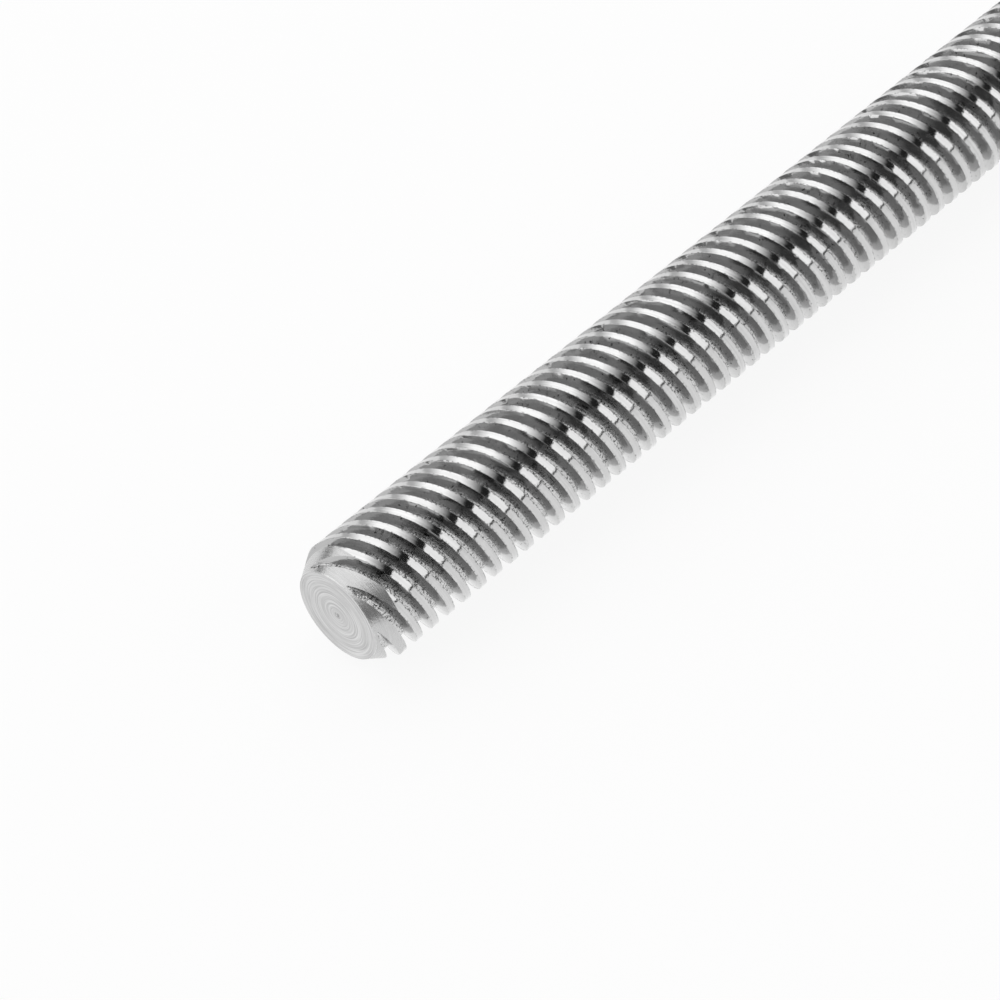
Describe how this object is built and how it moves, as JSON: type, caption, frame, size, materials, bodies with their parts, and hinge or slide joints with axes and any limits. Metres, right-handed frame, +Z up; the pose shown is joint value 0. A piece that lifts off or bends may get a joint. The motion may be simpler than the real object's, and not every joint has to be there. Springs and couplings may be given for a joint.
{
  "type": "lead screw",
  "caption": "Multi-start trapezoidal lead screw, a plain steel rod threaded end to end, with faced and chamfered ends, that drives a nut along its axis.",
  "frame": {"origin": "on the surface that the screw lies on, under the middle of its length", "axes": "+X along the screw's axis from the near end to the far end, +Z up"},
  "size_m": [0.1, 0.012, 0.012],
  "materials": {
    "bright_steel": "bright thread-cut and turned steel, with fine lathe marks and small burrs on the crests"
  },
  "bodies": {
    "root": {"lead_screw": "bright_steel"}
  },
  "joints": []
}
